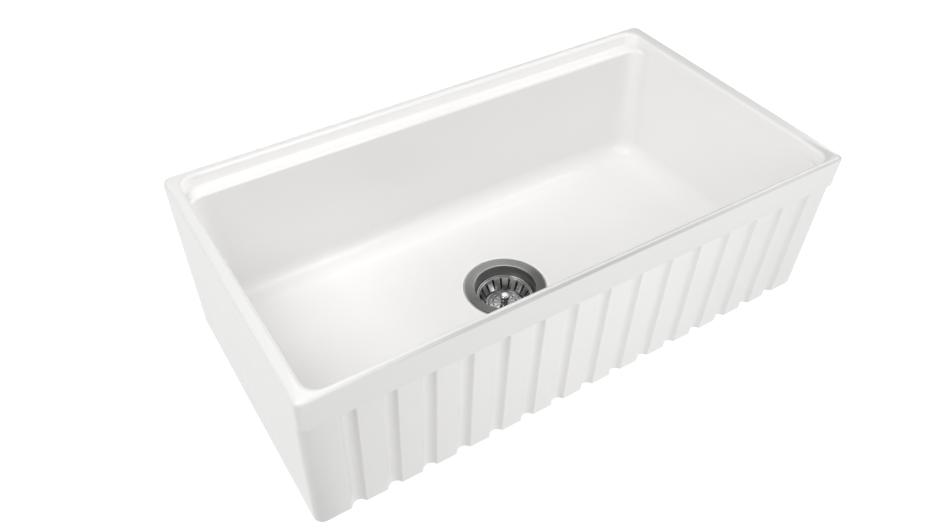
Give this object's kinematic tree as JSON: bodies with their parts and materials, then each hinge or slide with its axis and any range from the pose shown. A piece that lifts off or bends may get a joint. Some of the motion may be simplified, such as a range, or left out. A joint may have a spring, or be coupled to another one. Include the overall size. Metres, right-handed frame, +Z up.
{
  "type": "apron front kitchen sink",
  "caption": "Glazed fireclay kitchen sink with a fluted apron, a plain band under the rim, inner ledges at front and back, and a lift-out basket strainer in a flanged drain.",
  "frame": {"origin": "the centre of the fireclay body's underside, in the middle of its width and of the rim's depth, where the cabinet's rails carry the sink", "axes": "+X to the right along the apron, seen from in front; +Y from the apron towards the back wall; +Z up, along the drain and the basket's lift"},
  "size_m": [0.838, 0.4564, 0.4182],
  "materials": {
    "glazed_fireclay": "soft gloss white glaze",
    "brushed_steel": "brushed round the axis",
    "polished_steel": "polished",
    "plain_steel": "as pressed",
    "cast_zinc": "die cast, dull",
    "black_rubber": "matt",
    "fibre": "pressed fibre",
    "brass": "turned",
    "white_plastic": "moulded"
  },
  "bodies": {
    "sink": {"sink_body": "glazed_fireclay", "strainer_cup": "brushed_steel", "flange_seal": "black_rubber", "base_gasket": "black_rubber", "friction_ring": "fibre", "locknut": "cast_zinc", "outlet_ferrule": "brass", "post_guide": "plain_steel", "tailpiece_washer": "white_plastic", "tailpiece": "brushed_steel", "coupling_nut": "cast_zinc"},
    "clip": {"post_clip": "plain_steel"},
    "basket": {"basket_cup": "polished_steel", "basket_knob": "polished_steel", "basket_post": "plain_steel", "stopper_washer": "plain_steel", "stopper": "black_rubber", "stopper_nut": "plain_steel"}
  },
  "joints": [
    {"name": "basket_lift", "type": "slide", "parent": "sink", "child": "clip", "axis": [0, 0, 1], "range_m": [-0.006, 0.09]},
    {"name": "basket_turn", "type": "hinge", "parent": "clip", "child": "basket", "pos_m": [0, -0.004, 0], "axis": [0, 0, 1], "continuous": true}
  ]
}
